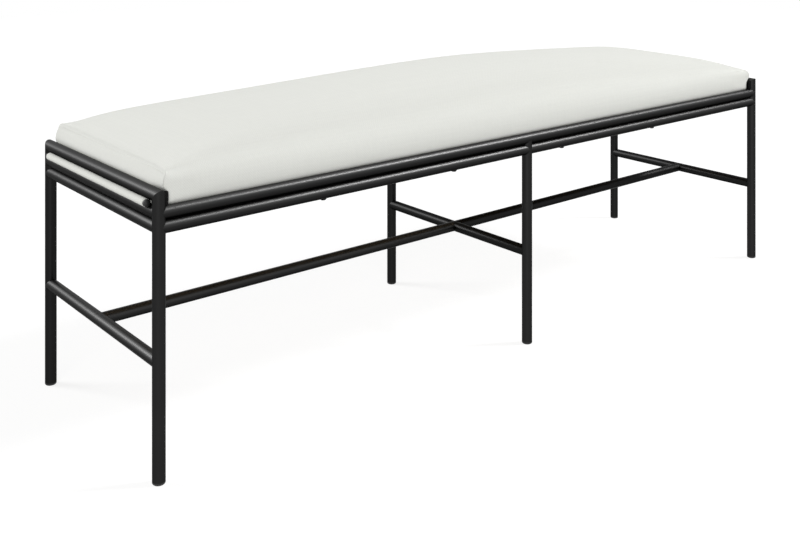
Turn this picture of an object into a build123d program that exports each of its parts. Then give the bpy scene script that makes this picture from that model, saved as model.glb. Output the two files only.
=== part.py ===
from build123d import *
import os

# Entryway bench: a welded frame of round black tube that carries a bolted seat board
# and a crowned fabric cushion. Millimetres, +Z up, +X along the bench, the front at -Y,
# the origin on the floor under the middle of the bench.

# Frame
LENGTH = 1500.0            # outside of one end frame to outside of the other
WIDTH = 415.0              # outside of the front rails to outside of the back rails
FRAME_TOP = 410.5          # top of the end frames above the floor
TUBE_D = 19.0
TUBE_WALL = 1.5
SLOT_GAP = 5.0             # between the upper and the middle end rail, for the cover's hem
RAIL_GAP = 1.0             # between the stacked upper and lower rails
STRETCHER_Z = 169.0        # height of the stretchers' axes
WELD_GAP = 0.1             # between a coped tube end and the tube that it is welded to

# Floor glides, pushed into the leg tubes
GLIDE_FLANGE = 4.0
GLIDE_STEM = 18.0
GLIDE_ROUND = 2.5
GLIDE_FIT = 0.1            # between the stem and the bore of the tube

# Seat board, its bearers and its bolts
BOARD_T = 12.0
BOARD_CLEAR = 1.5          # between the board's edges and the rails round it
BOARD_CORNER_R = 10.0
BEARER_COUNT = 4
BEARER_PITCH = 286.0
BOLT_INSET = 43.5          # from a rail's axis to the bolts beside it
BOLT_D = 6.0
BOLT_FIT = 0.3             # between a bolt and the holes that it passes through
BOLT_HEAD_D = 12.0
BOLT_HEAD_H = 3.3
THREAD_FIT = 0.05          # between a bolt and the thread of its nut
WASHER_D = 12.0
WASHER_T = 2.4
NUT_FLATS = 10.0
NUT_HEX_H = 9.0
NUT_DOME_D = 9.4
NUT_WALL = 2.0             # closed end of the dome, past the end of the bolt

# Cushion, all heights measured up from its base
CUSHION_SEAT = 0.3         # clear of the seat board
CUSHION_CLEAR = 1.0        # clear of the rails round its base
BASE_H = 9.0               # straight side that stands between the rails
END_H = 51.0               # top of the boxed ends
END_RISE = 24.0            # how far the top climbs close to each end
END_POWER = 10             # how close to the end that climb is
RIDGE_RISE = 26.0          # how far it climbs on to the middle of the length
RIDGE_POWER = 1.4
END_ROUND = 12.0           # radius of the top edge of the ends
TOP_CROWN = 9.0            # crown across the top, at the middle of the length
END_CROWN = 4.5            # and at the boxed ends
BULGE_SHORT = 0.5          # from the rail's axis line to where the long sides' swell over it stops
END_BULGE = 2.0
EDGE_SHARE = 0.75          # share of the swell that is left where the top edge's round begins
SHOULDER_W = 36.0          # round of the long top edges, across
SHOULDER_H = 34.0          # and down
END_SHOULDER = 9.0         # the same round at the boxed ends
STATIONS = (0.0, 0.35, 0.65, 0.85, 0.94)   # cross-sections, as shares of the half length
ROUND_STATION = 0.2        # one more in each end's round, as a share of its radius
COVER_T = 1.6              # fabric with its backing
LAYER_GAP = 0.3            # between the layers of the cushion
FOAM_H = 44.0
FOAM_INSET = 16.0          # fibre wrap between the foam and the cover, at sides and ends

# Hem of the cover, held outside each end frame by a rod
HEM_ROD_D = 8.0
HEM_ROD_FIT = 0.2
HEM_FABRIC = 1.5           # one layer of the hem
TONGUE_T = 2.6             # two layers of fabric pressed flat
HEM_REST = 0.25            # between the hem and the rails that it lies against
CAP_SKIRT = 3.0
CAP_DOME = 3.2
CAP_WALL = 1.4
CAP_FIT = 0.05
CAP_CLEAR = 4.3            # between the end of a rod's cap and the leg, along the rail

# Places that follow from the sizes above
tube_r = TUBE_D / 2
leg_x = LENGTH / 2 - tube_r
leg_y = WIDTH / 2 - tube_r
upper_z = FRAME_TOP - tube_r
middle_z = upper_z - TUBE_D - SLOT_GAP
lower_z = middle_z - TUBE_D - RAIL_GAP
board_z = lower_z + tube_r
cushion_z = board_z + BOARD_T + CUSHION_SEAT
inner_x = leg_x - tube_r
inner_y = leg_y - tube_r
bolt_y = leg_y - BOLT_INSET
cushion_half = inner_x - CUSHION_CLEAR
side_bulge = CUSHION_CLEAR + tube_r - BULGE_SHORT
sleeve_r = HEM_ROD_D / 2 + HEM_ROD_FIT + HEM_FABRIC
slot_z = (upper_z + middle_z) / 2
nest = tube_r + sleeve_r + HEM_REST
hem_x = leg_x + (nest**2 - ((upper_z - middle_z) / 2) ** 2) ** 0.5
hem_half = inner_y - CAP_CLEAR - CAP_DOME - CAP_SKIRT

ENDS = {"left": -1, "right": 1}
SIDES = {"front": -1, "back": 1}
FROM_BASE = (Align.CENTER, Align.CENTER, Align.MIN)

nodes = {}


def bar(start, end, diameter):
    """Solid round bar from one point to another."""
    run = Vector(*end) - Vector(*start)
    return Plane(origin=start, z_dir=run) * Cylinder(diameter / 2, run.length, align=FROM_BASE)


def tube(start, end):
    """Frame tube from one point to another."""
    return bar(start, end, TUBE_D) - bar(start, end, TUBE_D - 2 * TUBE_WALL)


def cope(start, end):
    """What is cut from a tube that is welded against the tube between these points."""
    return bar(start, end, TUBE_D + 2 * WELD_GAP)


def mitre(x, side):
    """Plane of the mitre between a corner leg and the upper end rail, facing the leg."""
    return Plane(origin=(x, side * leg_y, upper_z), z_dir=(0, side, -1))


def leg_line(x, side):
    """Axis of a leg."""
    return (x, side * leg_y, 0), (x, side * leg_y, FRAME_TOP)


def long_line(y, z):
    """Axis of a tube along the bench."""
    return (-leg_x, y, z), (leg_x, y, z)


def cross_line(x, z):
    """Axis of a tube across the bench."""
    return (x, -leg_y, z), (x, leg_y, z)


def build_end_frames():
    """Corner legs and the three rails of each end."""
    for end, sign in ENDS.items():
        x = sign * leg_x
        top_rail = tube((x, -WIDTH / 2, upper_z), (x, WIDTH / 2, upper_z))
        for name, side in SIDES.items():
            leg = tube((x, side * leg_y, GLIDE_FLANGE), (x, side * leg_y, FRAME_TOP))
            nodes[f"leg_{name}_{end}"] = split(leg, mitre(x, side), keep=Keep.TOP)
            top_rail = split(top_rail, mitre(x, side), keep=Keep.BOTTOM)
        nodes[f"end_rail_upper_{end}"] = top_rail
        for level, z in {"middle": middle_z, "lower": lower_z}.items():
            rail = tube(*cross_line(x, z))
            for side in SIDES.values():
                rail -= cope(*leg_line(x, side))
                rail -= cope(*long_line(side * leg_y, z))
            nodes[f"end_rail_{level}_{end}"] = rail


def build_long_rails():
    """Upper rails from end to end, lower rails in halves, and the middle legs."""
    for name, side in SIDES.items():
        y = side * leg_y
        upper = tube(*long_line(y, middle_z))
        for sign in ENDS.values():
            upper -= cope(*leg_line(sign * leg_x, side))
        nodes[f"long_rail_upper_{name}"] = upper
        leg = tube((0, y, GLIDE_FLANGE), (0, y, middle_z))
        nodes[f"leg_{name}_middle"] = leg - cope(*long_line(y, middle_z))
        for end, sign in ENDS.items():
            lower = tube((0, y, lower_z), (sign * leg_x, y, lower_z))
            lower -= cope(*leg_line(0, side))
            lower -= cope(*leg_line(sign * leg_x, side))
            nodes[f"long_rail_lower_{name}_{end}"] = lower


def build_stretchers():
    """Cross stretchers between each pair of legs, and the long one that joins them."""
    for place, x in {"left": -leg_x, "middle": 0.0, "right": leg_x}.items():
        cross = tube(*cross_line(x, STRETCHER_Z))
        for side in SIDES.values():
            cross -= cope(*leg_line(x, side))
        nodes[f"cross_stretcher_{place}"] = cross
    for end, sign in ENDS.items():
        half = tube((0, 0, STRETCHER_Z), (sign * leg_x, 0, STRETCHER_Z))
        half -= cope(*cross_line(0, STRETCHER_Z))
        half -= cope(*cross_line(sign * leg_x, STRETCHER_Z))
        nodes[f"long_stretcher_{end}"] = half


def build_glides():
    """Floor glide of each leg: a rounded foot with a stem in the tube."""
    stem_r = tube_r - TUBE_WALL - GLIDE_FIT
    foot = Cylinder(tube_r, GLIDE_FLANGE, align=FROM_BASE)
    foot = fillet(foot.edges().sort_by(Axis.Z)[0], GLIDE_ROUND)
    foot += Pos(0, 0, GLIDE_FLANGE) * Cylinder(stem_r, GLIDE_STEM, align=FROM_BASE)
    for place, x in {"left": -leg_x, "middle": 0.0, "right": leg_x}.items():
        for name, side in SIDES.items():
            nodes[f"floor_glide_{name}_{place}"] = Pos(x, side * leg_y, 0) * foot


def bolt_points():
    """Places of the seat bolts along the bench and across it."""
    first = -(BEARER_COUNT - 1) / 2 * BEARER_PITCH
    along = [first + n * BEARER_PITCH for n in range(BEARER_COUNT)]
    return [(x, side * bolt_y) for x in along for side in SIDES.values()]


def build_seat():
    """Bearers between the lower rails, the seat board and the bolts that hold it."""
    bearer_bottom = lower_z - tube_r
    thread_end = bearer_bottom - WASHER_T - NUT_HEX_H
    board_top = board_z + BOARD_T
    hole_d = BOLT_D + 2 * BOLT_FIT
    sink_r = BOLT_HEAD_D / 2 + BOLT_FIT

    board = Pos(0, 0, board_z) * Box(
        2 * (inner_x - BOARD_CLEAR), 2 * (inner_y - BOARD_CLEAR), BOARD_T, align=FROM_BASE
    )
    board = fillet(board.edges().filter_by(Axis.Z), BOARD_CORNER_R)
    bearers = {}
    bolts, washers, nuts = [], [], []

    washer = Cylinder(WASHER_D / 2, WASHER_T) - Cylinder(hole_d / 2, WASHER_T)
    bolt_head = Cone(BOLT_D / 2, BOLT_HEAD_D / 2, BOLT_HEAD_H, align=FROM_BASE)
    sink = Cone(hole_d / 2, sink_r, BOLT_HEAD_H, align=FROM_BASE)
    hexagon = extrude(RegularPolygon(NUT_FLATS / 2, 6, major_radius=False), -NUT_HEX_H)
    dome = Pos(0, 0, -NUT_HEX_H) * Sphere(NUT_DOME_D / 2)
    nut = hexagon + split(dome, Plane.XY.offset(-NUT_HEX_H), keep=Keep.BOTTOM)
    nut -= bar((0, 0, 0), (0, 0, -NUT_HEX_H - NUT_WALL), BOLT_D + 2 * THREAD_FIT)

    for x, y in bolt_points():
        if x not in bearers:
            bearers[x] = tube(*cross_line(x, lower_z))
            for side in SIDES.values():
                bearers[x] -= cope(*long_line(side * leg_y, lower_z))
        hole = bar((x, y, thread_end), (x, y, board_top), hole_d)
        bearers[x] -= hole
        board -= hole
        board -= Pos(x, y, board_top - BOLT_HEAD_H) * sink
        shank = bar((x, y, thread_end), (x, y, board_top - BOLT_HEAD_H), BOLT_D)
        bolts.append(shank + Pos(x, y, board_top - BOLT_HEAD_H) * bolt_head)
        washers.append(Pos(x, y, bearer_bottom - WASHER_T / 2) * washer)
        nuts.append(Pos(x, y, bearer_bottom - WASHER_T) * nut)

    for n, bearer in enumerate(bearers.values(), start=1):
        nodes[f"seat_bearer_{n}"] = bearer
    nodes["seat_board"] = board
    nodes["seat_bolts"] = Compound(children=bolts)
    nodes["seat_washers"] = Compound(children=washers)
    nodes["dome_nuts"] = Compound(children=nuts)


def cushion_section(x, inset, base):
    """Outline of the cushion across the bench at x, drawn in by inset, from the height base up."""
    half = cushion_half - inset
    share = min(abs(x) / half, 1.0)
    to_end = share**END_POWER
    past_round = max(0.0, END_ROUND - (half - abs(x)))
    end_drop = END_ROUND - (END_ROUND**2 - past_round**2) ** 0.5

    def fade(middle, end):
        return end + (middle - end) * (1 - to_end)

    ridge = RIDGE_RISE * (1 - share**RIDGE_POWER)
    top = fade(END_H + END_RISE, END_H) + ridge - end_drop - inset
    shoulder_w = fade(SHOULDER_W, END_SHOULDER)
    shoulder_h = fade(SHOULDER_H, END_SHOULDER)
    bulge = fade(side_bulge, END_BULGE)
    round_middle = 0.5**0.5

    low_y = inner_y - CUSHION_CLEAR - inset
    side_y = low_y + bulge
    edge_y = low_y + bulge * EDGE_SHARE
    flat_y = edge_y - shoulder_w
    knee_y = flat_y + shoulder_w * round_middle
    flat_z = top - fade(TOP_CROWN, END_CROWN)
    edge_z = flat_z - shoulder_h
    side_z = (BASE_H + edge_z) / 2
    knee_z = edge_z + shoulder_h * round_middle

    right = [
        Line((low_y, base), (low_y, BASE_H)),
        ThreePointArc((low_y, BASE_H), (side_y, side_z), (edge_y, edge_z)),
        ThreePointArc((edge_y, edge_z), (knee_y, knee_z), (flat_y, flat_z)),
    ]
    left = [mirror(edge, about=Plane.YZ) for edge in right]
    roof = ThreePointArc((flat_y, flat_z), (0, top), (-flat_y, flat_z))
    floor = Line((-low_y, base), (low_y, base))
    across = Plane((x, 0, cushion_z), x_dir=(0, 1, 0), z_dir=(1, 0, 0))
    return across * make_face([floor, *right, roof, *left])


def cushion_form(inset, base):
    """Crowned body of the cushion, drawn in by inset on every side but its base."""
    half = cushion_half - inset
    round_start = half - END_ROUND
    outward = [half * share for share in STATIONS] + [round_start]
    stations = [-x for x in reversed(outward[1:])] + outward
    body = loft([cushion_section(x, inset, base) for x in stations])
    for sign in ENDS.values():
        rounding = (round_start, half - END_ROUND * ROUND_STATION, half)
        body += loft([cushion_section(sign * x, inset, base) for x in rounding])
    return body


def build_cushion():
    """Cover, its base panel, the fibre wrap and the foam core."""
    open_below = -BASE_H
    cover = cushion_form(0.0, 0.0) - cushion_form(COVER_T, open_below)
    nodes["cushion_cover"] = cover

    panel_inset = CUSHION_CLEAR + COVER_T + LAYER_GAP
    panel = Pos(0, 0, cushion_z) * Box(
        2 * (inner_x - panel_inset), 2 * (inner_y - panel_inset), COVER_T, align=FROM_BASE
    )
    nodes["cover_base_panel"] = panel

    foam_z = COVER_T + LAYER_GAP
    foam_x = cushion_half - FOAM_INSET
    foam_y = inner_y - CUSHION_CLEAR - FOAM_INSET
    foam = Pos(0, 0, cushion_z + foam_z) * Box(2 * foam_x, 2 * foam_y, FOAM_H, align=FROM_BASE)
    nodes["foam_core"] = foam

    room = Pos(0, 0, cushion_z) * Box(
        2 * (foam_x + LAYER_GAP), 2 * (foam_y + LAYER_GAP), foam_z + FOAM_H + LAYER_GAP, align=FROM_BASE
    )
    nodes["fibre_wrap"] = cushion_form(COVER_T + LAYER_GAP, foam_z) - room


def build_hems():
    """Tongue of the cover through each end slot, its sleeve, the rod in it and the rod's caps."""
    cap_r = HEM_ROD_D / 2 + CAP_WALL
    rod_half = hem_half + CAP_SKIRT
    skirt = Cylinder(cap_r, CAP_SKIRT, align=FROM_BASE)
    dome = Sphere(cap_r)
    flatten = CAP_DOME / cap_r
    dome = split(scale(dome, (1, 1, flatten)), Plane.XY, keep=Keep.TOP)
    socket = Cylinder(HEM_ROD_D / 2 + CAP_FIT, CAP_SKIRT, align=FROM_BASE)
    cap = skirt - socket + Pos(0, 0, CAP_SKIRT) * dome

    for end, sign in ENDS.items():
        axis = (sign * hem_x, -hem_half, slot_z), (sign * hem_x, hem_half, slot_z)
        tongue_x = (cushion_half + hem_x) / 2
        tongue = Pos(sign * tongue_x, 0, slot_z) * Box(hem_x - cushion_half, 2 * hem_half, TONGUE_T)
        sleeve = bar(*axis, 2 * sleeve_r) + tongue
        nodes[f"hem_sleeve_{end}"] = sleeve - bar(*axis, HEM_ROD_D + 2 * HEM_ROD_FIT)
        nodes[f"hem_rod_{end}"] = bar(
            (sign * hem_x, -rod_half, slot_z), (sign * hem_x, rod_half, slot_z), HEM_ROD_D
        )
        caps = []
        for side in SIDES.values():
            seat = Plane(origin=(sign * hem_x, side * hem_half, slot_z), z_dir=(0, side, 0))
            caps.append(seat * cap)
        nodes[f"hem_rod_caps_{end}"] = Compound(children=caps)


build_end_frames()
build_long_rails()
build_stretchers()
build_glides()
build_seat()
build_cushion()
build_hems()

os.makedirs("parts", exist_ok=True)
for name, shape in nodes.items():
    export_step(shape, f"parts/{name}.step")
print(len(nodes), "nodes written")
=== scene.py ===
"""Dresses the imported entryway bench: finishes on the welded frame and the seat, the cushion with its
end hems, the small fittings, a pale studio floor, soft lamps and the camera."""

import logging
import math
from abc import ABC, abstractmethod
from dataclasses import dataclass
from enum import Enum
from typing import Any

import bpy
from bpy.types import Material, Node, NodeSocket, NodeTree, Object
from mathutils import Matrix, Vector, noise


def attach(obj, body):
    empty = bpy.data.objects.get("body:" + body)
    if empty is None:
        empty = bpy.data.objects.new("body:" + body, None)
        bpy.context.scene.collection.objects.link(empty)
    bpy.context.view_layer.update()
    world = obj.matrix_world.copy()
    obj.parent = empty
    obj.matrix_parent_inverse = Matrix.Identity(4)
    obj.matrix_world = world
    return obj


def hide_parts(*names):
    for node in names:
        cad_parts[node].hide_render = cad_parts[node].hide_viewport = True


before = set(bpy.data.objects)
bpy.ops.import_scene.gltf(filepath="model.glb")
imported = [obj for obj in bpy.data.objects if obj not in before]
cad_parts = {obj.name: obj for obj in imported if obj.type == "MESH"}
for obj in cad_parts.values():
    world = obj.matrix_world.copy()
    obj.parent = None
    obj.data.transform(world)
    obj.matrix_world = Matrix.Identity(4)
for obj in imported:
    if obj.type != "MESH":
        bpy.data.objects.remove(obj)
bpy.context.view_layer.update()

LOG = logging.getLogger("entryway_bench")
MM = 0.001
Faces = list[tuple[int, ...]]


class End(Enum):
    """The two ends of the bench, by the sign of their X."""

    LEFT = -1
    RIGHT = 1


def linear(hex_colour: str) -> tuple[float, float, float, float]:
    """Turns an sRGB hex colour to linear light.

    Args:
        hex_colour: Six hex digits after a hash.

    Returns:
        Red, green, blue and full alpha.
    """
    parts = [int(hex_colour[n : n + 2], 16) / 255 for n in (1, 3, 5)]
    red, green, blue = (c / 12.92 if c <= 0.04045 else ((c + 0.055) / 1.055) ** 2.4 for c in parts)
    return red, green, blue, 1.0


def add_node(tree: NodeTree, kind: str, inputs: dict[Any, Any], **settings: Any) -> Node:
    """Adds a node with its settings, its constants and its links.

    Args:
        tree: Node tree that gets the node.
        kind: Blender's name of the node type, without its ShaderNode prefix.
        inputs: For each input, by name or number, a constant or the output socket that feeds it.
        settings: The node's own properties.

    Returns:
        The new node.
    """
    node = tree.nodes.new(f"ShaderNode{kind}")
    for name, value in settings.items():
        setattr(node, name, value)
    for name, value in inputs.items():
        if isinstance(value, NodeSocket):
            tree.links.new(value, node.inputs[name])
        else:
            node.inputs[name].default_value = value
    return node


@dataclass(frozen=True)
class Finish(ABC):
    """A surface finish, named for its real material and how it was made."""

    name: str

    @abstractmethod
    def shader(self, tree: NodeTree) -> Node:
        """Builds the nodes of the finish and returns the last shader."""

    def material(self) -> Material:
        """Gives the Blender material of the finish, which is made once.

        Returns:
            The material.
        """
        made = bpy.data.materials.get(self.name)
        if made is None:
            made = bpy.data.materials.new(self.name)
            made.use_nodes = True
            made.node_tree.nodes.clear()
            last = self.shader(made.node_tree)
            add_node(made.node_tree, "OutputMaterial", {"Surface": last.outputs[0]})
        return made

    def dress(self, *pieces: Object) -> None:
        """Gives each piece this finish in all its material slots."""
        for piece in pieces:
            piece.data.materials.clear()
            piece.data.materials.append(self.material())


@dataclass(frozen=True)
class PowderCoat(Finish):
    """Steel tube, powder coated in satin black: a soft, even gloss over faint orange peel.

    The black powder holds fine metal flake, so it mirrors as a dark metal does: clear soft lines of light
    along the tubes, and no pale rim where a tube turns away. The colour is painted lighter on upward faces
    and nearly black on downward faces: painted light on the tops and painted shade on the undersides.
    """

    name: str = "powder_coated_steel_satin_black"
    colour: str = "#242424"
    thick_colour: str = "#292929"
    # Painted light on upward faces and painted shade on downward faces: the colour follows the surface's
    # direction.
    painted_light_colour: str = "#484848"
    painted_shade_colour: str = "#121212"
    # Upward share of the surface's direction at which the painted light and the painted shade are full.
    painted_light_full: float = 0.8
    painted_shade_full: float = -0.75
    rim: float = 0.5
    roughness: tuple[float, float] = (0.37, 0.41)
    peel_mm: float = 2.5
    cloud_mm: float = 70.0

    def shader(self, tree: NodeTree) -> Node:
        """Builds the coat.

        Args:
            tree: Node tree of the material.

        Returns:
            The coat's shader.
        """
        place = add_node(tree, "TexCoord", {}).outputs["Object"]
        cloud, peel = (
            add_node(tree, "TexNoise", {"Vector": place, "Scale": 1 / (size * MM), "Detail": detail})
            for size, detail in ((self.cloud_mm, 3.0), (self.peel_mm, 1.0))
        )
        shades = {0: cloud.outputs[0], 6: linear(self.colour), 7: linear(self.thick_colour)}
        colour = add_node(tree, "Mix", shades, data_type="RGBA")
        normal = add_node(tree, "NewGeometry", {}).outputs["Normal"]
        facing = add_node(tree, "SeparateXYZ", {0: normal}).outputs["Z"]
        # Mixes in painted light towards upward faces and painted shade towards downward faces.
        for shade, full in ((self.painted_light_colour, self.painted_light_full), (self.painted_shade_colour, self.painted_shade_full)):
            painted_share = add_node(tree, "MapRange", {"Value": facing, "From Min": 0.0, "From Max": full})
            shades = {0: painted_share.outputs[0], 6: colour.outputs[2], 7: linear(shade)}
            colour = add_node(tree, "Mix", shades, data_type="RGBA")
        low, high = self.roughness
        gloss = add_node(tree, "MapRange", {"Value": cloud.outputs[0], "To Min": low, "To Max": high})
        bump = add_node(tree, "Bump", {"Height": peel.outputs[0], "Strength": 0.03, "Distance": 0.08 * MM})
        return add_node(
            tree,
            "BsdfPrincipled",
            {
                "Base Color": colour.outputs[2],
                "Metallic": 1.0,
                "Roughness": gloss.outputs[0],
                "Normal": bump.outputs[0],
                "Specular Tint": (self.rim, self.rim, self.rim, 1.0),
            },
        )


# A darker copy of the coat for the tubes under the seat: painted shade where the seat shades them from the
# lamps.
SHADED_COAT = PowderCoat(
    name="powder_coated_steel_satin_black_painted_shade",
    colour="#1d1d1d",
    thick_colour="#212121",
    painted_light_colour="#252525",
)


@dataclass(frozen=True)
class MouldedPlastic(Finish):
    """Black polyethylene, injection moulded: dull, with the fine grain of a spark-eroded mould."""

    name: str = "moulded_polyethylene_black"
    colour: str = "#101010"
    worn_colour: str = "#1a1a1a"
    roughness: float = 0.55
    gloss: float = 0.35
    grain_mm: float = 0.8

    def shader(self, tree: NodeTree) -> Node:
        """Builds the plastic.

        Args:
            tree: Node tree of the material.

        Returns:
            The plastic's shader.
        """
        place = add_node(tree, "TexCoord", {}).outputs["Object"]
        scale = 1 / (self.grain_mm * MM)
        grain = add_node(tree, "TexNoise", {"Vector": place, "Scale": scale, "Detail": 2.0}).outputs[0]
        shades = {0: grain, 6: linear(self.colour), 7: linear(self.worn_colour)}
        colour = add_node(tree, "Mix", shades, data_type="RGBA")
        bump = add_node(tree, "Bump", {"Height": grain, "Strength": 0.2, "Distance": 0.1 * MM})
        return add_node(
            tree,
            "BsdfPrincipled",
            {
                "Base Color": colour.outputs[2],
                "Roughness": self.roughness,
                "Normal": bump.outputs[0],
                "IOR": 1.51,
                "Specular IOR Level": self.gloss,
            },
        )


# Near-black matt rubber for the strips beside the front legs: painted shade for the gap between leg and
# cushion, blacker than the coat beside it.
PAINTED_SHADE_RUBBER = MouldedPlastic(
    name="moulded_rubber_black_painted_shade",
    colour="#060606",
    worn_colour="#0a0a0a",
    roughness=0.8,
    gloss=0.1,
)


@dataclass(frozen=True)
class PlatedSteel(Finish):
    """Rods and fasteners, drawn or turned and then plated: metal with a faint pattern of duller spangles."""

    name: str = "zinc_plated_steel_drawn"
    colour: str = "#b9bcc0"
    dull_colour: str = "#9da1a6"
    roughness: tuple[float, float] = (0.28, 0.42)
    rim: float = 1.0
    spangle_mm: float = 3.0

    def shader(self, tree: NodeTree) -> Node:
        """Builds the plated metal.

        Args:
            tree: Node tree of the material.

        Returns:
            The metal's shader.
        """
        place = add_node(tree, "TexCoord", {}).outputs["Object"]
        spangle = add_node(
            tree, "TexNoise", {"Vector": place, "Scale": 1 / (self.spangle_mm * MM), "Detail": 3.0}
        )
        shades = {0: spangle.outputs[0], 6: linear(self.colour), 7: linear(self.dull_colour)}
        colour = add_node(tree, "Mix", shades, data_type="RGBA")
        low, high = self.roughness
        gloss = add_node(tree, "MapRange", {"Value": spangle.outputs[0], "To Min": low, "To Max": high})
        return add_node(
            tree,
            "BsdfPrincipled",
            {
                "Base Color": colour.outputs[2],
                "Roughness": gloss.outputs[0],
                "Metallic": 1.0,
                "Specular Tint": (self.rim, self.rim, self.rim, 1.0),
            },
        )


# Black zinc plate, passivated: as dark as the coat, with a soft gleam.
BLACK_PLATE = PlatedSteel(
    name="black_zinc_plated_steel_turned",
    colour="#0e0e0f",
    dull_colour="#0a0a0b",
    roughness=(0.38, 0.5),
    rim=0.35,
)


@dataclass(frozen=True)
class Plywood(Finish):
    """Birch plywood, rotary cut, sanded and left bare: pale broad grain on its faces, plies at its edges."""

    name: str = "birch_plywood_sanded"
    early_wood: str = "#dcc39b"
    late_wood: str = "#c6a577"
    glue_line: str = "#8a6a45"
    grain_mm: float = 9.0
    # Grain runs along the board, so it is drawn out along X.
    grain_stretch: float = 14.0
    # Plies are 1.5 mm thick. Their glue lines are drawn about six times as far apart, so that they show.
    ply_mm: float = 1.5
    # Radians that a wave texture turns through in one unit.
    wave_turn: float = 20.0

    def shader(self, tree: NodeTree) -> Node:
        """Builds the wood.

        Args:
            tree: Node tree of the material.

        Returns:
            The wood's shader.
        """
        place = add_node(tree, "TexCoord", {}).outputs["Object"]
        stretch = (1 / self.grain_stretch, 1.0, 1.0)
        along = add_node(tree, "Mapping", {"Vector": place, "Scale": stretch}).outputs[0]
        grain = add_node(
            tree,
            "TexNoise",
            {"Vector": along, "Scale": 1 / (self.grain_mm * MM), "Detail": 5.0, "Distortion": 0.6},
        )
        shades = {0: grain.outputs[0], 6: linear(self.early_wood), 7: linear(self.late_wood)}
        wood = add_node(tree, "Mix", shades, data_type="RGBA")
        plies = add_node(
            tree,
            "TexWave",
            {"Vector": place, "Scale": 1 / (self.ply_mm * MM) / self.wave_turn, "Distortion": 0.4},
            bands_direction="Z",
        )
        normal = add_node(tree, "NewGeometry", {}).outputs["Normal"]
        facing = add_node(tree, "SeparateXYZ", {0: normal}).outputs["Z"]
        flat = add_node(tree, "Math", {0: facing}, operation="ABSOLUTE").outputs[0]
        edge = add_node(tree, "Math", {0: 1.0, 1: flat}, operation="SUBTRACT", use_clamp=True).outputs[0]
        lines = add_node(tree, "Math", {0: edge, 1: plies.outputs["Fac"]}, operation="MULTIPLY").outputs[0]
        colour = add_node(
            tree, "Mix", {0: lines, 6: wood.outputs[2], 7: linear(self.glue_line)}, data_type="RGBA"
        )
        bump = add_node(tree, "Bump", {"Height": grain.outputs[0], "Strength": 0.2, "Distance": 0.15 * MM})
        return add_node(
            tree,
            "BsdfPrincipled",
            {"Base Color": colour.outputs[2], "Roughness": 0.62, "Normal": bump.outputs[0], "IOR": 1.5},
        )


@dataclass(frozen=True)
class WovenCanvas(Finish):
    """Off-white canvas, plain woven from spun yarn: matt, with a grid of threads and a few slubs."""

    name: str = "plain_woven_canvas_off_white"
    warp: str = "#e7e8e3"
    weft: str = "#e0e1db"
    # The yarns of such a canvas lie about 1 mm apart. They are drawn at twice that, so that they show.
    thread_mm: float = 2.0
    slub_mm: float = 3.0
    slub_length: float = 40.0

    def shader(self, tree: NodeTree) -> Node:
        """Builds the cloth.

        Args:
            tree: Node tree of the material.

        Returns:
            The cloth's shader.
        """
        place = add_node(tree, "TexCoord", {}).outputs["Object"]
        turns = math.pi / (self.thread_mm * MM)
        phase = add_node(tree, "VectorMath", {0: place, 1: (turns,) * 3}, operation="MULTIPLY").outputs[0]
        sines = add_node(tree, "VectorMath", {0: phase}, operation="SINE").outputs[0]
        waves = add_node(tree, "SeparateXYZ", {0: sines}).outputs
        normal = add_node(tree, "NewGeometry", {}).outputs["Normal"]
        squared = add_node(tree, "VectorMath", {0: normal, 1: normal}, operation="MULTIPLY").outputs[0]
        facing = add_node(tree, "SeparateXYZ", {0: squared}).outputs
        weave = None
        for across, along, flat in (("X", "Y", "Z"), ("X", "Z", "Y"), ("Y", "Z", "X")):
            crossing = add_node(tree, "Math", {0: waves[across], 1: waves[along]}, operation="MULTIPLY")
            part = add_node(
                tree, "Math", {0: crossing.outputs[0], 1: facing[flat]}, operation="MULTIPLY"
            ).outputs[0]
            weave = part if weave is None else add_node(tree, "Math", {0: weave, 1: part}).outputs[0]
        over = add_node(tree, "MapRange", {"Value": weave, "From Min": -1.0}).outputs[0]
        cloth = add_node(
            tree, "Mix", {0: over, 6: linear(self.weft), 7: linear(self.warp)}, data_type="RGBA"
        )
        slubs = None
        for long_axis in range(3):
            stretch = [1 / (self.slub_mm * MM)] * 3
            stretch[long_axis] /= self.slub_length
            yarn = add_node(tree, "Mapping", {"Vector": place, "Scale": stretch}).outputs[0]
            thick = add_node(tree, "TexNoise", {"Vector": yarn, "Scale": 1.0, "Detail": 1.0}).outputs[0]
            slubs = thick if slubs is None else add_node(tree, "Math", {0: slubs, 1: thick}).outputs[0]
        shade = add_node(
            tree,
            "MapRange",
            {"Value": slubs, "From Min": 0.9, "From Max": 2.1, "To Min": 0.975, "To Max": 1.02},
        ).outputs[0]
        colour = add_node(tree, "VectorMath", {0: cloth.outputs[2], "Scale": shade}, operation="SCALE")
        raised = add_node(tree, "Math", {0: weave}, operation="ABSOLUTE").outputs[0]
        height = add_node(tree, "Math", {0: raised, 1: slubs}).outputs[0]
        bump = add_node(tree, "Bump", {"Height": height, "Strength": 0.16, "Distance": 0.2 * MM})
        return add_node(
            tree,
            "BsdfPrincipled",
            {
                "Base Color": colour.outputs[0],
                "Roughness": 0.92,
                "Normal": bump.outputs[0],
                "IOR": 1.46,
                "Specular IOR Level": 0.15,
                "Sheen Weight": 0.08,
                "Sheen Roughness": 0.5,
            },
        )


def mesh_piece(name: str, points: list[Vector], faces: Faces) -> Object:
    """Makes a smooth-shaded mesh object in the scene.

    Args:
        name: Name of the piece.
        points: Its vertices, in metres.
        faces: Its faces, as vertex numbers.

    Returns:
        The new object.
    """
    mesh = bpy.data.meshes.new(name)
    mesh.from_pydata([tuple(p) for p in points], [], faces)
    mesh.validate()
    mesh.shade_smooth()
    piece = bpy.data.objects.new(name, mesh)
    bpy.context.scene.collection.objects.link(piece)
    return piece


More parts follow.
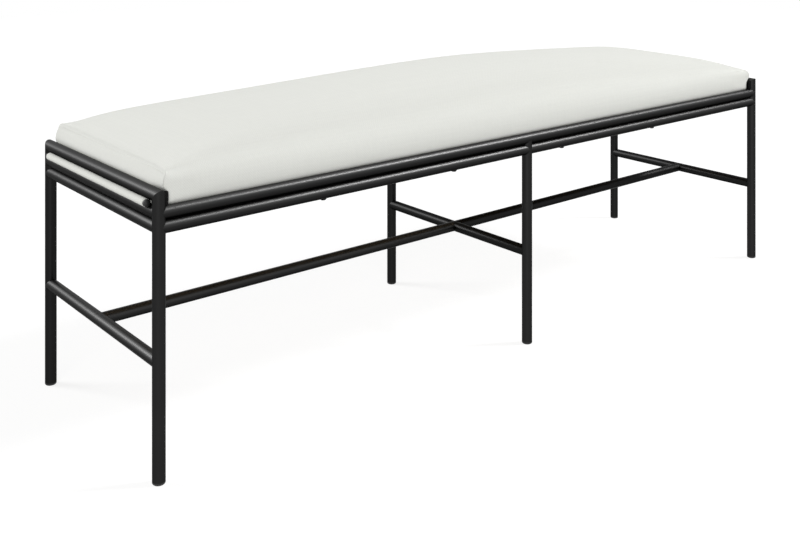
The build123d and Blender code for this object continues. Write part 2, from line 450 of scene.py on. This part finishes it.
def skin(rings: list[list[int]]) -> Faces:
    """Joins closed rings of points into a skin.

    Args:
        rings: Point numbers of each ring, as many in each.

    Returns:
        The faces between each ring and the next.
    """
    count = len(rings[0])
    return [
        (a[n], b[n], b[(n + 1) % count], a[(n + 1) % count])
        for a, b in zip(rings, rings[1:])
        for n in range(count)
    ]


def spaced(fine: tuple[float, ...], length: float, step: float) -> list[float]:
    """Spaces lines along a length, closer together near both of its ends.

    Args:
        fine: Distances of the close lines from each end.
        length: Whole length.
        step: Spacing of the rest.

    Returns:
        Distances from the start, as shares of the length.
    """
    inner = length - 2 * fine[-1]
    count = max(1, round(inner / step))
    middle = [fine[-1] + inner * n / count for n in range(1, count)]
    places = [*fine, *middle, *(length - d for d in reversed(fine))]
    return [p / length for p in places]


def along_line(line: list[Vector], shares: list[float]) -> list[Vector]:
    """Finds points on a line of many short runs.

    Args:
        line: Points of the line.
        shares: Places along it, as shares of its length.

    Returns:
        One point for each share.
    """
    reach = [0.0]
    for start, stop in zip(line, line[1:]):
        reach.append(reach[-1] + (stop - start).length)
    found, n = [], 0
    for share in shares:
        goal = share * reach[-1]
        while n < len(line) - 2 and reach[n + 1] < goal:
            n += 1
        run = reach[n + 1] - reach[n]
        found.append(line[n].lerp(line[n + 1], (goal - reach[n]) / run if run else 0.0))
    return found


@dataclass
class SeatCushion:
    """Filled cushion: a cover wrapped over its top and long sides, and a boxed panel sewn in at each end."""

    middle_x: float = 1.5 * MM
    half_length: float = 730 * MM
    base_z: float = 379.3 * MM
    base_y: float = 188.2 * MM
    tuck_y: float = 195.4 * MM
    tuck_z: float = 386.9 * MM
    # Below the tuck the cover lies along the round back of the long rail, down to the seat board.
    turn_in: tuple[tuple[float, float], ...] = (
        (192.9 * MM, 385.8 * MM),
        (190.8 * MM, 384.2 * MM),
        (189.2 * MM, 382.1 * MM),
    )
    side_z: float = 408 * MM
    side_y: float = 198.5 * MM
    side_power: float = 2.0
    end_side_y: float = 196 * MM
    end_top: float = 435.2 * MM
    end_rise: float = 22.3 * MM
    end_power: float = 14.0
    end_tilt: float = 3 * MM
    long_tilt: float = 2.3 * MM
    ridge_x: float = 60 * MM
    ridge_rise: float = 36.5 * MM
    ridge_power: float = 1.5
    box_power: float = 2.8
    end_box_power: float = 5.5
    corner_box_power: float = 16.0
    end_round: float = 4 * MM
    overhang: float = 5.5 * MM
    overhang_z: float = 413 * MM
    lean_power: float = 1.8
    panel_bulge: float = 2.5 * MM
    end_draw: float = 1.2 * MM
    # The front corners are drawn in beside the near-black shade strips on the legs, over the outer fifth of
    # the width.
    corner_draw: float = 6 * MM
    corner_share: float = 0.2
    rail_x: float = 740.5 * MM
    rail_z: float = 401 * MM
    rail_r: float = 10 * MM
    fill_room: float = 2 * MM
    # How firmly the filling, the ends and the seams hold the cloth against the simulation, from 0 to 1.
    firmness: float = 0.15
    end_firmness: float = 0.6
    most_firmness: float = 0.85
    seam_firmness: float = 0.95
    end_hold: float = 60 * MM
    top_runs: int = 240
    side_runs: int = 24
    # Run of the upper outline at which the top passes into a side.
    corner_run: int = 46
    side_reach: float = 80 * MM
    grid: float = 8 * MM
    seam_lines: tuple[float, ...] = (0.0, 0.7 * MM, 2.2 * MM, 4.8 * MM, 9 * MM)
    seam_depth: float = 0.9 * MM
    pucker: float = 0.5 * MM
    pucker_length: float = 22 * MM
    pressure: float = 4.0
    frames: int = 20
    most_move: float = 6 * MM

    def __post_init__(self) -> None:
        """Spaces the lines of the cover's grid."""
        self.top_shares = spaced(self.seam_lines, 2 * self.side_y, self.grid)
        self.side_shares = spaced(self.seam_lines, self.side_reach, self.grid)

    def top_line(self, x: float, shrink: float) -> list[Vector]:
        """Draws the upper outline of the cushion across the bench, from the front round to the back.

        The filling lies a little fuller to the right of the middle, a little higher towards the left, and at
        the ends a little higher at the back.

        Args:
            x: Place along the cushion, from its middle.
            shrink: How far the outline is drawn in.

        Returns:
            Points with Y and Z set.
        """
        share = abs(x) / self.half_length
        past_ridge = x - self.ridge_x
        from_ridge = abs(past_ridge / (self.half_length - math.copysign(self.ridge_x, past_ridge)))
        past_round = max(0.0, self.end_round - self.half_length * (1 - share))
        drop = self.end_round - math.sqrt(self.end_round**2 - past_round**2)
        crown = self.end_top - drop + self.end_rise * (1 - share**self.end_power)
        crown += self.ridge_rise * (1 - from_ridge**self.ridge_power) - self.long_tilt * x / self.half_length
        # The higher the power of the share, the closer to the ends a change keeps.
        half = self.end_side_y + (self.side_y - self.end_side_y) * (1 - share**4) - shrink
        power = self.box_power + (self.end_box_power - self.box_power) * share**6
        power += (self.corner_box_power - self.end_box_power) * share**120
        rise = crown - shrink - self.side_z
        tilt = self.end_tilt * share**8
        line = []
        for n in range(self.top_runs + 1):
            turn = math.pi * n / self.top_runs
            across = math.copysign(abs(math.cos(turn)) ** (2 / power), -math.cos(turn))
            up = math.sin(turn) ** (2 / power) if n < self.top_runs else 0.0
            line.append(Vector((0.0, half * across, self.side_z + (rise + tilt * across) * up)))
        return line

    def side_line(self, half: float) -> list[Vector]:
        """Draws the front side from its widest line down behind the rail to the seat board.

        Args:
            half: Half width at the widest line.

        Returns:
            Points with Y and Z set.
        """
        line = []
        for n in range(self.side_runs + 1):
            fall = n / self.side_runs
            y = half - (half - self.tuck_y) * fall**self.side_power
            line.append(Vector((0.0, -y, self.side_z - (self.side_z - self.tuck_z) * fall)))
        line += [Vector((0.0, -y, z)) for y, z in (*self.turn_in, (self.base_y, self.base_z))]
        return line

    def section(self, x: float, shrink: float) -> list[list[Vector]]:
        """Divides the outline at a place along the bench into its four sides.

        Args:
            x: Place along the cushion, from its middle.
            shrink: How far the outline is drawn in.

        Returns:
            Top from front to back, back side downwards, base from back to front, front side upwards.
        """
        top = self.top_line(x, shrink)
        corner = self.corner_run
        lower = self.side_line(-top[0].y)[1:]
        front = along_line(list(reversed(top[: corner + 1])) + lower, self.side_shares)
        behind = [Vector((0.0, -p.y, p.z)) for p in lower]
        back = along_line(top[-corner - 1 :] + behind, self.side_shares)
        top_points = along_line(top[corner:-corner], self.top_shares)
        base = [Vector((0.0, p.y, self.base_z)) for p in along_line([back[-1], front[-1]], self.top_shares)]
        return [top_points, back, base, list(reversed(front))]

    def stand_out(self, point: Vector, end: End) -> float:
        """Gives how far an end stands out: over the end rail, along its round side, clear of the shade
        strips on the legs.

        Args:
            point: Place on the end.
            end: Which end.

        Returns:
            Distance out from the end's own plane, in metres.
        """
        across = min(1.0, abs(point.y) / self.end_side_y)
        full = self.overhang + self.panel_bulge * (1 - across**4)
        straight = self.end_top - self.end_round - self.overhang_z
        up = min(1.0, max(0.0, (point.z - self.overhang_z) / straight))
        lean = full * (1 - up**self.lean_power)
        above = point.z - self.rail_z
        under = min(1.0, max(0.0, 2.0 - above / self.rail_r * 2))
        to_front = -point.y / self.end_side_y - (1 - self.corner_share)
        past_leg = self.corner_draw * min(1.0, max(0.0, to_front) / self.corner_share) * under
        if above >= self.rail_r:
            return lean - past_leg
        beside = self.rail_r if above <= 0 else math.sqrt(self.rail_r**2 - above**2)
        room = self.rail_x - beside - self.half_length - end.value * self.middle_x
        return min(lean, max(room, -self.end_draw) if above <= 0 else room) - past_leg

    def form(self) -> tuple[list[Vector], Faces, list[int], list[int]]:
        """Lays out the cushion as a tube of outlines with a grid of points over each end.

        Returns:
            Points, faces, numbers of the seam's points and numbers of the points that hold still.
        """
        points: list[Vector] = []
        rings: list[list[int]] = []
        for place in spaced(self.seam_lines, 2 * self.half_length, self.grid):
            x = (2 * place - 1) * self.half_length
            share = abs(x) / self.half_length
            room = self.fill_room * (1 - share**30)
            outline = [p for side in self.section(x, room) for p in side[:-1]]
            ring = []
            end = End.RIGHT if x > 0 else End.LEFT
            for p in outline:
                out = self.stand_out(p, end) * share**40
                ring.append(len(points))
                points.append(Vector((self.middle_x + x + end.value * out, p.y, p.z)))
            rings.append(ring)
        faces = skin(rings)
        self.close_end(points, faces, rings[0], End.LEFT)
        self.close_end(points, faces, rings[-1], End.RIGHT)
        still = [n for n, p in enumerate(points) if p.z < self.tuck_z]
        return points, faces, rings[0] + rings[-1], still

    def close_end(
        self, points: list[Vector], faces: Faces, ring: list[int], end: End
    ) -> None:
        """Fills one end with the boxed panel.

        Args:
            points: Points so far, which get the panel's.
            faces: Faces so far, which get the panel's.
            ring: Numbers of the seam's points.
            end: Which end.
        """
        wide = len(self.top_shares) - 1
        high = len(self.side_shares) - 1
        top = ring[: wide + 1]
        back = ring[wide : wide + high + 1]
        base = list(reversed(ring[wide + high : 2 * wide + high + 1]))
        front = list(reversed((ring + ring[:1])[2 * wide + high :]))
        rows = [top]
        for j in range(1, high):
            v = self.side_shares[j]
            row = [front[j]]
            for i in range(1, wide):
                u = self.top_shares[i]
                rule = points[top[i]].lerp(points[base[i]], v) + points[front[j]].lerp(points[back[j]], u)
                corners = points[top[0]].lerp(points[top[-1]], u).lerp(
                    points[base[0]].lerp(points[base[-1]], u), v
                )
                p = rule - corners
                p.x = self.middle_x + end.value * (self.half_length + self.stand_out(p, end))
                row.append(len(points))
                points.append(p)
            row.append(back[j])
            rows.append(row)
        rows.append(base)
        for upper, lower in zip(rows, rows[1:]):
            for i in range(wide):
                quad = (upper[i], upper[i + 1], lower[i + 1], lower[i])
                faces.append(quad if end is End.LEFT else tuple(reversed(quad)))

    def fill(self, piece: Object, held: dict[int, float]) -> None:
        """Fills the cover by a cloth simulation, and keeps the result in the mesh.

        Args:
            piece: The cover, which is changed in place.
            held: How firmly each point is held, from 0 to 1.
        """
        group = piece.vertex_groups.new(name="held")
        for number, weight in held.items():
            group.add([number], weight, "REPLACE")
        cloth = piece.modifiers.new("filling", "CLOTH")
        cloth.settings.quality = 6
        cloth.settings.mass = 0.3
        cloth.settings.tension_stiffness = 20
        cloth.settings.compression_stiffness = 20
        cloth.settings.shear_stiffness = 8
        cloth.settings.bending_stiffness = 0.8
        cloth.settings.use_pressure = True
        cloth.settings.uniform_pressure_force = self.pressure
        cloth.settings.effector_weights.gravity = 0.0
        cloth.settings.vertex_group_mass = group.name
        cloth.point_cache.frame_start = 1
        cloth.point_cache.frame_end = self.frames
        scene = bpy.context.scene
        for number in range(1, self.frames + 1):
            scene.frame_set(number)
        filled = piece.evaluated_get(bpy.context.evaluated_depsgraph_get())
        moved = [v.co.copy() for v in filled.data.vertices]
        piece.modifiers.remove(cloth)
        scene.frame_set(1)
        for vertex, place in zip(piece.data.vertices, moved):
            step = place - vertex.co
            if step.length > self.most_move:
                step *= self.most_move / step.length
            vertex.co += step
        piece.vertex_groups.remove(group)
        piece.data.update()

    def sew(self, piece: Object, seam: list[int]) -> None:
        """Draws the end seams in and gathers the cloth beside them a little.

        Args:
            piece: The filled cover, which is changed in place.
            seam: Numbers of the seam's points.
        """
        mesh = piece.data
        normals = [v.normal.copy() for v in mesh.vertices]
        in_seam = set(seam)
        for vertex in mesh.vertices:
            to_seam = self.half_length - abs(vertex.co.x - self.middle_x)
            near = max(0.0, 1 - abs(to_seam) / (3 * self.seam_lines[-1]))
            gather = noise.noise(vertex.co / self.pucker_length)
            vertex.co += normals[vertex.index] * (self.pucker * gather * near)
            if vertex.index in in_seam and vertex.co.z > self.tuck_z:
                vertex.co -= normals[vertex.index] * self.seam_depth
        mesh.update()

    def build(self) -> Object:
        """Builds the filled and sewn cushion.

        Returns:
            The cushion.
        """
        points, faces, seam, still = self.form()
        piece = mesh_piece("seat_cushion", points, faces)
        held = {}
        for n, p in enumerate(points):
            near = max(0.0, 1 - (self.half_length - abs(p.x - self.middle_x)) / self.end_hold)
            firm = self.firmness + (self.end_firmness - self.firmness) * near
            held[n] = min(self.most_firmness, firm)
        held.update({n: self.seam_firmness for n in seam})
        held.update({n: 1.0 for n in still})
        self.fill(piece, held)
        self.sew(piece, seam)
        smooth = piece.modifiers.new("soft", "SUBSURF")
        smooth.levels = smooth.render_levels = 1
        return piece

    def dress(self, piece: Object, canvas: Finish) -> None:
        """Dresses the cushion and puts it in the place of the cushion's solids.

        Args:
            piece: The cushion.
            canvas: Cloth of the cover.
        """
        canvas.dress(piece)
        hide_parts("cushion_cover", "cover_base_panel", "fibre_wrap", "foam_core")
        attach(piece, "root")


@dataclass
class EndHem:
    """Hem of the cover at one end: a tongue of two layers through the end slot, a sleeve round the rod."""

    end: End
    rod_x: float = 750.2 * MM
    rod_z: float = 389 * MM
    half_length: float = 178 * MM
    sleeve_r: float = 5.7 * MM
    cloth: float = 1.2 * MM
    tongue_gap: float = 0.1 * MM
    inner_x: float = 731 * MM
    ease: float = 0.22 * MM
    ease_length: float = 26 * MM
    stations: int = 72
    tongue_runs: int = 4
    loop_runs: int = 36

    def middle_line(self) -> list[Vector]:
        """Draws the middle of the cloth: along the tongue, round the rod and back.

        Returns:
            Points with X from the rod outwards and Z up.
        """
        radius = self.sleeve_r - self.cloth / 2
        half_gap = (self.cloth + self.tongue_gap) / 2
        open_turn = math.asin(half_gap / radius)
        reach = self.rod_x - self.inner_x
        flat = reach - radius
        runs = self.tongue_runs
        tongue = [Vector((-reach + flat * n / runs, 0.0, half_gap)) for n in range(runs)]
        loop = []
        for n in range(self.loop_runs + 1):
            turn = math.pi - open_turn - (2 * math.pi - 2 * open_turn) * n / self.loop_runs
            loop.append(Vector((radius * math.cos(turn), 0.0, radius * math.sin(turn))))
        back = [Vector((p.x, 0.0, -p.z)) for p in reversed(tongue)]
        return tongue + loop + back

    def build(self) -> Object:
        """Builds the hem as cloth of real thickness.

        Returns:
            The hem.
        """
        line = self.middle_line()
        outer, inner = [], []
        for n, p in enumerate(line):
            run = line[min(n + 1, len(line) - 1)] - line[max(n - 1, 0)]
            out = Vector((-run.z, 0.0, run.x)).normalized() * self.cloth / 2
            outer.append(p + out)
            inner.append(p - out)
        outline = outer + list(reversed(inner))
        size = len(outline)
        points: list[Vector] = []
        for k in range(self.stations + 1):
            y = self.half_length * (2 * k / self.stations - 1)
            swell = self.ease * noise.noise(Vector((y / self.ease_length, self.end.value * 3.0, 0.5)))
            for p in outline:
                out = 1 + swell / self.sleeve_r if p.x > -self.sleeve_r else 1.0
                x = self.end.value * (self.rod_x + p.x * out)
                points.append(Vector((x, y, self.rod_z + p.z * out)))
        rings = [list(range(k * size, (k + 1) * size)) for k in range(self.stations + 1)]
        faces = skin(rings[::-1])
        last = self.stations * size
        for n in range(len(line) - 1):
            cut = (n, size - 1 - n, size - 2 - n, n + 1)
            faces.append(cut)
            faces.append(tuple(last + c for c in reversed(cut)))
        if self.end is End.LEFT:
            faces = [tuple(reversed(f)) for f in faces]
        return mesh_piece(f"end_hem_{self.end.name.lower()}", points, faces)

    def dress(self, piece: Object, canvas: Finish) -> None:
        """Dresses the hem and puts it in the place of its solid.

        Args:
            piece: The hem.
            canvas: Cloth of the cover.
        """
        canvas.dress(piece)
        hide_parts(f"hem_sleeve_{self.end.name.lower()}")
        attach(piece, "root")


@dataclass
class WeldRuns:
    """Fillet welds in the inner notch between the stacked rails, one run from leg to leg."""

    rail_x: float = 740.5 * MM
    rail_y: float = 198 * MM
    notch_z: float = 367 * MM
    tube_r: float = 9.5 * MM
    inset: float = 4 * MM
    bead_r: float = 1.55 * MM
    ripple: float = 0.12 * MM
    ripple_length: float = 4 * MM
    step: float = 1.3 * MM
    sides: int = 8

    def runs(self) -> list[tuple[Vector, Vector]]:
        """Lists the runs by their two ends.

        Returns:
            Start and end of each run.
        """
        beside_leg = math.sqrt(self.tube_r**2 - self.inset**2)
        x, y, z = self.rail_x - self.inset, self.rail_y - self.inset, self.notch_z
        lines = []
        for side in (-1, 1):
            for half in (-1, 1):
                far = half * (self.rail_x - beside_leg)
                lines.append((Vector((far, side * y, z)), Vector((half * beside_leg, side * y, z))))
            reach = self.rail_y - beside_leg
            lines.append((Vector((side * x, -reach, z)), Vector((side * x, reach, z))))
        return lines

    def build(self) -> Object:
        """Builds all the runs as rippled beads.

        Returns:
            The welds.
        """
        points: list[Vector] = []
        faces: Faces = []
        up = Vector((0.0, 0.0, 1.0))
        for start, end in self.runs():
            out = (end - start).normalized().cross(up)
            count = round((end - start).length / self.step)
            rings = []
            for k in range(count + 1):
                wave = math.sin(2 * math.pi * k * self.step / self.ripple_length)
                radius = self.bead_r + self.ripple * wave
                middle = start.lerp(end, k / count)
                rings.append([len(points) + n for n in range(self.sides)])
                for n in range(self.sides):
                    turn = 2 * math.pi * n / self.sides
                    points.append(middle + (out * math.cos(turn) + up * math.sin(turn)) * radius)
            faces += [*skin(rings), tuple(rings[0]), tuple(reversed(rings[-1]))]
        return mesh_piece("rail_weld_runs", points, faces)

    def dress(self, piece: Object, coat: Finish) -> None:
        """Dresses the welds in the coat of the tubes.

        Args:
            piece: The welds.
            coat: Coat of the frame.
        """
        coat.dress(piece)
        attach(piece, "root")


@dataclass
class LegShadeStrips:
    """Half-round near-black strips on the front legs, beside the cushion's front corners: painted shade,
    dark pieces that stand for the shade in that gap.
    """

    leg_x: float = 740.5 * MM
    leg_y: float = -198 * MM
    leg_r: float = 9.52 * MM
    half_width: float = 4.5 * MM
    depth: float = 5.6 * MM
    bottom_z: float = 387 * MM
    top_z: float = 406 * MM
    edge_round: float = 0.6 * MM
    arc_points: int = 12
    sharp_edge: float = 40.0

    def outline(self, end: End, shrink: float) -> list[Vector]:
        """Draws a strip's outline: hollow against the leg and round towards the cushion.

        Args:
            end: Which end of the bench.
            shrink: How far the round side is drawn in.

        Returns:
            Points of the outline, from above.
        """
        turn = math.asin(self.half_width / self.leg_r)
        back = self.leg_r * math.cos(turn)
        line = []
        for n in range(self.arc_points + 1):
            t = math.pi * (n / self.arc_points - 0.5)
            line.append((back + (self.depth - shrink) * math.cos(t), self.half_width * math.sin(t)))
        for n in range(1, self.arc_points):
            t = turn * (1 - 2 * n / self.arc_points)
            line.append((self.leg_r * math.cos(t), self.leg_r * math.sin(t)))
        if end is End.RIGHT:
            line.reverse()
        return [Vector((end.value * (self.leg_x - x), self.leg_y + y, 0.0)) for x, y in line]

    def build(self) -> Object:
        """Builds both strips.

        Returns:
            The strips.
        """
        points: list[Vector] = []
        faces: Faces = []
        levels = (
            (self.bottom_z, self.edge_round),
            (self.bottom_z + self.edge_round, 0.0),
            (self.top_z - self.edge_round, 0.0),
            (self.top_z, self.edge_round),
        )
        for end in End:
            rings = []
            for z, shrink in levels:
                line = self.outline(end, shrink)
                rings.append(list(range(len(points), len(points) + len(line))))
                points += [point + Vector((0.0, 0.0, z)) for point in line]
            faces += [*skin(rings[::-1]), tuple(reversed(rings[0])), tuple(rings[-1])]
        piece = mesh_piece("leg_shade_strips", points, faces)
        piece.data.set_sharp_from_angle(angle=math.radians(self.sharp_edge))
        return piece

    def dress(self, piece: Object, rubber: Finish) -> None:
        """Dresses the strips.

        Args:
            piece: The strips.
            rubber: Finish of the strips.
        """
        rubber.dress(piece)
        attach(piece, "root")


@dataclass
class CapNuts:
    """Hexagon cap nuts on the seat bolts: tall flats, a chamfered edge and a low turned dome."""

    along: tuple[float, ...] = (-429 * MM, -143 * MM, 143 * MM, 429 * MM)
    across: float = 154.5 * MM
    seat_z: float = 345.1 * MM
    hex_h: float = 13.1 * MM
    flats: float = 10 * MM
    chamfer: float = 0.5 * MM
    seat_chamfer: float = 0.3 * MM
    seat_share: float = 0.96
    dome_h: float = 1.7 * MM
    dome_share: float = 0.97
    dome_rings: int = 6
    points_round: int = 24
    sharp_edge: float = 28.0

    def rings(self) -> list[tuple[float, list[float]]]:
        """Lists the outlines of a nut from its seat down to its tip.

        Returns:
            Height from the seat, and the radius at each point round the nut.
        """
        turns = [2 * math.pi * n / self.points_round for n in range(self.points_round)]
        inner = self.flats / 2
        half_side = math.pi / 6
        flat = [inner / math.cos((turn + half_side) % (2 * half_side) - half_side) for turn in turns]
        rings = [
            (0.0, [self.seat_share * r for r in flat]),
            (-self.seat_chamfer, flat),
            (-self.hex_h + self.chamfer, flat),
        ]
        for n in range(self.dome_rings):
            turn = math.pi / 2 * n / self.dome_rings
            radius = self.dome_share * inner * math.cos(turn)
            rings.append((-self.hex_h - self.dome_h * math.sin(turn), [radius] * self.points_round))
        return rings

    def build(self) -> Object:
        """Builds all the nuts.

        Returns:
            The nuts.
        """
        points: list[Vector] = []
        faces: Faces = []
        count = self.points_round
        for x, y in ((x, side * self.across) for x in self.along for side in (-1, 1)):
            rings = []
            for down, radii in self.rings():
                rings.append(list(range(len(points), len(points) + count)))
                for n, radius in enumerate(radii):
                    turn = 2 * math.pi * n / count
                    round_x, round_y = radius * math.cos(turn), radius * math.sin(turn)
                    points.append(Vector((x + round_x, y + round_y, self.seat_z + down)))
            tip = len(points)
            points.append(Vector((x, y, self.seat_z - self.hex_h - self.dome_h)))
            faces += [tuple(rings[0]), *skin(rings)]
            last = rings[-1]
            faces += [(last[n], tip, last[(n + 1) % count]) for n in range(count)]
        piece = mesh_piece("seat_cap_nuts", points, faces)
        piece.data.set_sharp_from_angle(angle=math.radians(self.sharp_edge))
        return piece

    def dress(self, piece: Object, plate: Finish) -> None:
        """Dresses the nuts and puts them in the place of their solids.

        Args:
            piece: The nuts.
            plate: Finish of the fasteners.
        """
        plate.dress(piece)
        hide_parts("dome_nuts")
        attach(piece, "root")


@dataclass
class FrameParts:
    """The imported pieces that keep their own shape, by the finish that they get."""

    # Tubes under the seat get the darker coat: painted shade where the seat shades them.
    shaded_tubes: tuple[str, ...] = (
        "leg_back_",
        "cross_stretcher_middle",
        "cross_stretcher_right",
        "long_stretcher_right",
        "seat_bearer_",
    )
    tubes: tuple[str, ...] = (
        "leg_front_",
        "end_rail_",
        "long_rail_",
        "cross_stretcher_left",
        "long_stretcher_left",
    )
    plastic: tuple[str, ...] = ("floor_glide_", "hem_rod_caps_")
    bare_steel: tuple[str, ...] = ("seat_bolts", "hem_rod_left", "hem_rod_right")
    black_steel: tuple[str, ...] = ("seat_washers", "dome_nuts")
    wood: tuple[str, ...] = ("seat_board",)

    def dress(self) -> None:
        """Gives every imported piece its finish."""
        finishes = (
            (self.shaded_tubes, SHADED_COAT),
            (self.tubes, PowderCoat()),
            (self.plastic, MouldedPlastic()),
            (self.bare_steel, PlatedSteel()),
            (self.black_steel, BLACK_PLATE),
            (self.wood, Plywood()),
        )
        for name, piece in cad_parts.items():
            for starts, finish in finishes:
                if name.startswith(starts):
                    finish.dress(piece)
                    LOG.info("%s: %s", name, finish.name)


@dataclass(frozen=True)
class Softbox:
    """A soft studio lamp that faces the bench."""

    name: str
    direction: tuple[float, float, float]
    distance: float
    width: float
    height: float
    radiance: float

    def build(self, target: Vector) -> None:
        """Hangs the lamp.

        Args:
            target: Point that the lamp faces.
        """
        lamp = bpy.data.lights.new(self.name, "AREA")
        lamp.shape = "RECTANGLE"
        lamp.size, lamp.size_y = self.width, self.height
        lamp.energy = self.radiance * math.pi * self.width * self.height
        stand = bpy.data.objects.new(self.name, lamp)
        way = Vector(self.direction).normalized()
        stand.location = target + way * self.distance
        stand.rotation_mode = "QUATERNION"
        stand.rotation_quaternion = (-way).to_track_quat("-Z", "Y")
        stand.visible_camera = False
        bpy.context.scene.collection.objects.link(stand)


@dataclass
class Studio:
    """Pale floor, soft lamps and a white surround."""

    floor_half: float = 6.0
    # The floor lies a hair below the feet, so that the two don't fight over the same plane.
    floor_z: float = -0.2 * MM
    floor_colour: str = "#aaaaaa"
    floor_glow: float = 0.84
    shadow_colour: str = "#898989"
    surround: float = 0.08
    target: tuple[float, float, float] = (0.0, 0.0, 0.3)
    lamps: tuple[Softbox, ...] = (
        Softbox("key_softbox", (0.615, -0.42, 0.67), 10.0, 1.8, 1.8, 72.0),
        Softbox("side_softbox", (-0.59, 0.67, 0.44), 25.0, 9.4, 9.4, 15.8),
        Softbox("front_softbox", (-0.6, -0.75, 0.25), 25.0, 16.0, 10.0, 6.3),
    )

    def seen(self, tree: NodeTree) -> NodeSocket:
        """Tells where the surround is looked at, or mirrored, rather than lights something.

        Args:
            tree: Node tree that gets the nodes.

        Returns:
            Socket that is 1 for camera, glossy and transmission rays.
        """
        path = add_node(tree, "LightPath", {}).outputs
        seen = path["Is Camera Ray"]
        for kind in ("Is Glossy Ray", "Is Transmission Ray"):
            seen = add_node(tree, "Math", {0: seen, 1: path[kind]}, operation="MAXIMUM").outputs[0]
        return seen

    def build_floor(self) -> Object:
        """Lays the floor, which looks white and keeps the bench's shadow.

        Returns:
            The floor.
        """
        half = self.floor_half
        square = ((-half, -half), (half, -half), (half, half), (-half, half))
        corners = [Vector((x, y, self.floor_z)) for x, y in square]
        floor = mesh_piece("studio_floor", corners, [(0, 1, 2, 3)])
        paint = bpy.data.materials.new("matt_white_studio_paper")
        paint.use_nodes = True
        tree = paint.node_tree
        tree.nodes.clear()
        bounce = add_node(tree, "BsdfDiffuse", {"Color": linear(self.floor_colour)}).outputs[0]
        shade = add_node(tree, "BsdfDiffuse", {"Color": linear(self.shadow_colour)}).outputs[0]
        glow = add_node(tree, "Emission", {"Strength": self.floor_glow}).outputs[0]
        white = add_node(tree, "AddShader", {0: glow, 1: shade}).outputs[0]
        paper = add_node(tree, "MixShader", {0: self.seen(tree), 1: bounce, 2: white}).outputs[0]
        add_node(tree, "OutputMaterial", {"Surface": paper})
        floor.data.materials.append(paint)
        return floor

    def build_world(self) -> None:
        """Sets the surround: white to look at, plain soft light on the bench."""
        world = bpy.data.worlds.new("white_surround")
        world.use_nodes = True
        tree = world.node_tree
        tree.nodes.clear()
        light = add_node(tree, "Background", {"Color": (1, 1, 1, 1), "Strength": self.surround}).outputs[0]
        white = add_node(tree, "Background", {"Color": (1, 1, 1, 1), "Strength": 1.0}).outputs[0]
        both = add_node(tree, "MixShader", {0: self.seen(tree), 1: light, 2: white}).outputs[0]
        add_node(tree, "OutputWorld", {"Surface": both})
        bpy.context.scene.world = world

    def build(self) -> None:
        """Builds the floor, the surround and the lamps."""
        self.build_floor()
        self.build_world()
        for lamp in self.lamps:
            lamp.build(Vector(self.target))


@dataclass
class ViewCamera:
    """Camera with its back kept upright, as a view camera's is, so that the legs stay parallel."""

    place: tuple[float, float, float] = (-1.4168, -1.5460, 0.8082)
    ahead: tuple[float, float] = (0.6367, 0.7711)
    fall: float = 0.34382
    lens: float = 50.09
    film_width: float = 36.0
    far: float = 200.0

    def build(self) -> None:
        """Sets up the camera."""
        ahead = Vector((*self.ahead, 0.0)).normalized()
        right = Vector((ahead.y, -ahead.x, 0.0))
        up = Vector((0.0, 0.0, 1.0))
        back = (up * self.fall - ahead).normalized()
        stand = Matrix.Identity(4)
        for column, axis in enumerate((right, up, back, Vector(self.place))):
            for row in range(3):
                stand[row][column] = axis[row]
        lens = bpy.data.cameras.new("view_camera")
        lens.lens = self.lens
        lens.sensor_width = self.film_width
        lens.clip_end = self.far
        camera = bpy.data.objects.new("view_camera", lens)
        tripod = bpy.data.objects.new("tripod", None)
        for item in (tripod, camera):
            bpy.context.scene.collection.objects.link(item)
        # The back isn't square to the lens: a parent's inverse can hold that, a plain rotation can't.
        camera.parent = tripod
        camera.matrix_parent_inverse = stand
        bpy.context.scene.camera = camera


def main() -> None:
    """Builds and dresses the bench, then the studio and the camera."""
    logging.basicConfig(level=logging.INFO, format="%(name)s: %(message)s")
    bpy.context.scene.view_settings.view_transform = "Standard"
    canvas = WovenCanvas()
    FrameParts().dress()
    welds = WeldRuns()
    welds.dress(welds.build(), PowderCoat())
    LOG.info("welds: %d runs", len(welds.runs()))
    # Near-black strips beside the front legs: painted shade in the gap by the cushion.
    shade_strips = LegShadeStrips()
    shade_strips.dress(shade_strips.build(), PAINTED_SHADE_RUBBER)
    LOG.info("leg buffers: %d", len(End))
    nuts = CapNuts()
    nuts.dress(nuts.build(), BLACK_PLATE)
    LOG.info("cap nuts: %d", 2 * len(nuts.along))
    cushion = SeatCushion()
    piece = cushion.build()
    cushion.dress(piece, canvas)
    LOG.info("seat cushion: %d points", len(piece.data.vertices))
    for end in End:
        hem = EndHem(end)
        hem.dress(hem.build(), canvas)
        LOG.info("hem: %s", end.name.lower())
    Studio().build()
    ViewCamera().build()


if __name__ == "__main__":
    main()
